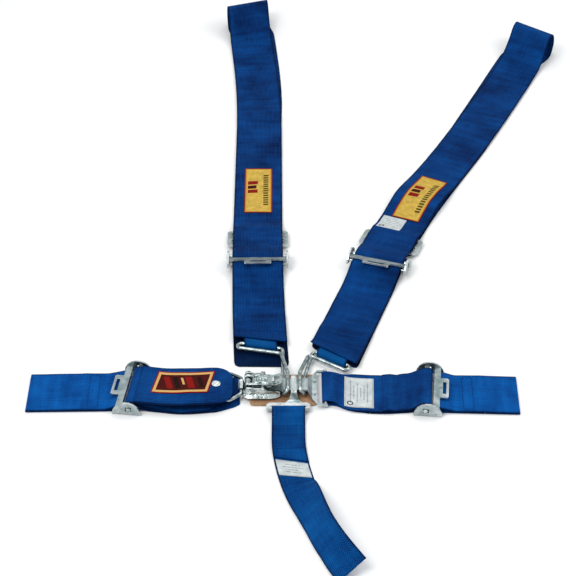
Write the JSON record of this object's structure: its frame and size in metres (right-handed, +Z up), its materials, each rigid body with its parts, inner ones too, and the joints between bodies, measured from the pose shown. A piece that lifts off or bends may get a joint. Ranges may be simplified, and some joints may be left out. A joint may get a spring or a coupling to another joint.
{
  "type": "racing harness",
  "caption": "Latch-and-link racing harness laid flat: wide lap and shoulder webbing with tilt-lock adjusters, a lever buckle and a narrower crotch strap.",
  "frame": {"origin": "on the underside of the leather pad, below the middle of the buckle", "axes": "+X along the lap belt towards the link side, +Y towards the shoulder loops, +Z up out of the pad"},
  "size_m": [0.8407, 1.4426, 0.0449],
  "materials": {
    "webbing": "woven polyester, royal blue",
    "hardware": "bright zinc plate",
    "pad": "tan leather",
    "patch": "embroidered yellow with a dark red border",
    "label": "white woven label"
  },
  "bodies": {
    "link": {"link_tongue": "hardware", "buckle_pad": "pad", "pad_rivets": "hardware"},
    "latch": {"latch_frame": "hardware", "lever_pivot_pin": "hardware", "guide_pin": "hardware", "lever_spring": "hardware"},
    "lever": {"latch_lever": "hardware", "catch_hook": "hardware", "hook_pin": "hardware"},
    "bail": {"latch_bail": "hardware"},
    "left_lap": {"left_lap_inner_strap": "webbing", "snap_stud": "hardware"},
    "lap_flap": {"lap_cover_flap": "webbing", "flap_patch": "patch", "flap_snap_cap": "hardware"},
    "right_lap": {"right_lap_inner_strap": "webbing", "right_lap_label": "label"},
    "left_lap_frame": {"left_lap_adjuster": "hardware", "left_lap_anchor_pin": "hardware"},
    "left_lap_lock": {"left_lap_lock_bar": "hardware"},
    "left_lap_outer": {"left_lap_outer_strap": "webbing"},
    "right_lap_frame": {"right_lap_adjuster": "hardware", "right_lap_anchor_pin": "hardware"},
    "right_lap_lock": {"right_lap_lock_bar": "hardware"},
    "right_lap_outer": {"right_lap_outer_strap": "webbing"},
    "left_shoulder_end_body": {"shoulder_end_left": "hardware"},
    "left_shoulder_lower": {"left_shoulder_lower_strap": "webbing", "end_loop_left": "webbing"},
    "left_shoulder_frame": {"left_shoulder_adjuster": "hardware", "left_shoulder_anchor_pin": "hardware"},
    "left_shoulder_lock": {"left_shoulder_lock_bar": "hardware"},
    "left_shoulder_upper": {"left_shoulder_upper_strap": "webbing", "left_three_bar_slide": "hardware", "left_shoulder_patch": "patch"},
    "right_shoulder_end_body": {"shoulder_end_right": "hardware"},
    "right_shoulder_lower": {"right_shoulder_lower_strap": "webbing", "end_loop_right": "webbing"},
    "right_shoulder_frame": {"right_shoulder_adjuster": "hardware", "right_shoulder_anchor_pin": "hardware"},
    "right_shoulder_lock": {"right_shoulder_lock_bar": "hardware"},
    "right_shoulder_upper": {"right_shoulder_upper_strap": "webbing", "right_three_bar_slide": "hardware", "right_shoulder_patch": "patch", "right_shoulder_label": "label"},
    "crotch_bracket_body": {"crotch_bracket": "hardware"},
    "crotch": {"crotch_strap": "webbing", "crotch_label": "label"}
  },
  "joints": [
    {"name": "latch_release", "type": "slide", "parent": "link", "child": "latch", "axis": [-1, 0, 0], "range_m": [0, 0.045]},
    {"name": "lever_open", "type": "hinge", "parent": "latch", "child": "lever", "pos_m": [-0.053, 0, 0.015], "axis": [0, -1, 0], "range_deg": [0, 111]},
    {"name": "bail_lift", "type": "hinge", "parent": "latch", "child": "bail", "pos_m": [-0.062, 0, 0.009], "axis": [0, 1, 0], "range_deg": [0, 35]},
    {"name": "left_lap_lift", "type": "hinge", "parent": "bail", "child": "left_lap", "pos_m": [-0.084, 0, 0.0064], "axis": [0, 1, 0], "range_deg": [0, 8]},
    {"name": "flap_open", "type": "hinge", "parent": "left_lap", "child": "lap_flap", "pos_m": [-0.18697, -0.00326, 0.0124], "axis": [0.0175, -0.9998, 0], "range_deg": [0, 120]},
    {"name": "right_lap_lift", "type": "hinge", "parent": "link", "child": "right_lap", "pos_m": [0.052, 0, 0.0054], "axis": [0, -1, 0], "range_deg": [0, 55]},
    {"name": "left_lap_adjuster_tilt", "type": "hinge", "parent": "left_lap", "child": "left_lap_frame", "pos_m": [-0.20649, -0.00406, 0.0095], "axis": [0.1132, 0.9936, 0], "range_deg": [0, 15]},
    {"name": "left_lap_lock_slide", "type": "slide", "parent": "left_lap_frame", "child": "left_lap_lock", "axis": [-0.9936, 0.1132, 0], "range_m": [0, 0.0015]},
    {"name": "left_lap_outer_fold", "type": "hinge", "parent": "left_lap_frame", "child": "left_lap_outer", "pos_m": [-0.22139, -0.00236, 0.0049], "axis": [0.1132, 0.9936, 0], "range_deg": [-15, 0]},
    {"name": "right_lap_adjuster_tilt", "type": "hinge", "parent": "right_lap", "child": "right_lap_frame", "pos_m": [0.1894, -0.00638, 0.0095], "axis": [-0.1011, -0.9949, 0], "range_deg": [0, 15]},
    {"name": "right_lap_lock_slide", "type": "slide", "parent": "right_lap_frame", "child": "right_lap_lock", "axis": [0.9949, -0.1011, 0], "range_m": [0, 0.0015]},
    {"name": "right_lap_outer_fold", "type": "hinge", "parent": "right_lap_frame", "child": "right_lap_outer", "pos_m": [0.20432, -0.0079, 0.0049], "axis": [-0.1011, -0.9949, 0], "range_deg": [-15, 0]},
    {"name": "left_shoulder_swing", "type": "hinge", "parent": "link", "child": "left_shoulder_end_body", "pos_m": [-0.00225, 0, 0.0113], "axis": [0, 0, 1], "range_deg": [-3, 3]},
    {"name": "left_shoulder_lift", "type": "hinge", "parent": "left_shoulder_end_body", "child": "left_shoulder_lower", "pos_m": [-0.037, 0.089, 0.00645], "axis": [0.9781, -0.2079, 0], "range_deg": [0, 55]},
    {"name": "left_shoulder_adjuster_tilt", "type": "hinge", "parent": "left_shoulder_lower", "child": "left_shoulder_frame", "pos_m": [-0.04384, 0.2787, 0.01167], "axis": [-0.9998, -0.0175, 0], "range_deg": [-12, 0]},
    {"name": "left_shoulder_lock_slide", "type": "slide", "parent": "left_shoulder_frame", "child": "left_shoulder_lock", "axis": [0.0169, -0.9701, 0.2419], "range_m": [0, 0.0015]},
    {"name": "left_shoulder_upper_fold", "type": "hinge", "parent": "left_shoulder_frame", "child": "left_shoulder_upper", "pos_m": [-0.04411, 0.29437, 0.0125], "axis": [-0.9998, -0.0175, 0], "range_deg": [0, 12]},
    {"name": "right_shoulder_swing", "type": "hinge", "parent": "link", "child": "right_shoulder_end_body", "pos_m": [0.02085, 0, 0.0113], "axis": [0, 0, 1], "range_deg": [-3, 3]},
    {"name": "right_shoulder_lift", "type": "hinge", "parent": "right_shoulder_end_body", "child": "right_shoulder_lower", "pos_m": [0.062, 0.0605, 0.00645], "axis": [0.829, -0.5592, 0], "range_deg": [0, 55]},
    {"name": "right_shoulder_adjuster_tilt", "type": "hinge", "parent": "right_shoulder_lower", "child": "right_shoulder_frame", "pos_m": [0.13434, 0.27443, 0.01167], "axis": [-0.9455, 0.3256, 0], "range_deg": [-12, 0]},
    {"name": "right_shoulder_lock_slide", "type": "slide", "parent": "right_shoulder_frame", "child": "right_shoulder_lock", "axis": [-0.3159, -0.9174, 0.2419], "range_m": [0, 0.0015]},
    {"name": "right_shoulder_upper_fold", "type": "hinge", "parent": "right_shoulder_frame", "child": "right_shoulder_upper", "pos_m": [0.13945, 0.28924, 0.0125], "axis": [-0.9455, 0.3256, 0], "range_deg": [0, 12]},
    {"name": "crotch_swing", "type": "hinge", "parent": "link", "child": "crotch_bracket_body", "pos_m": [0.0093, 0, 0.0113], "axis": [0, 0, 1], "range_deg": [-3, 3]},
    {"name": "crotch_strap_lift", "type": "hinge", "parent": "crotch_bracket_body", "child": "crotch", "pos_m": [0.002, -0.043, 0.0053], "axis": [-1, 0, 0], "range_deg": [0, 55]}
  ],
  "couplings": [
    {"joint": "lever_open", "follows": "latch_release", "rad_per_m": 42.664},
    {"joint": "left_lap_outer_fold", "follows": "left_lap_adjuster_tilt", "ratio": -1},
    {"joint": "right_lap_outer_fold", "follows": "right_lap_adjuster_tilt", "ratio": -1},
    {"joint": "left_shoulder_upper_fold", "follows": "left_shoulder_adjuster_tilt", "ratio": -1},
    {"joint": "right_shoulder_upper_fold", "follows": "right_shoulder_adjuster_tilt", "ratio": -1}
  ]
}
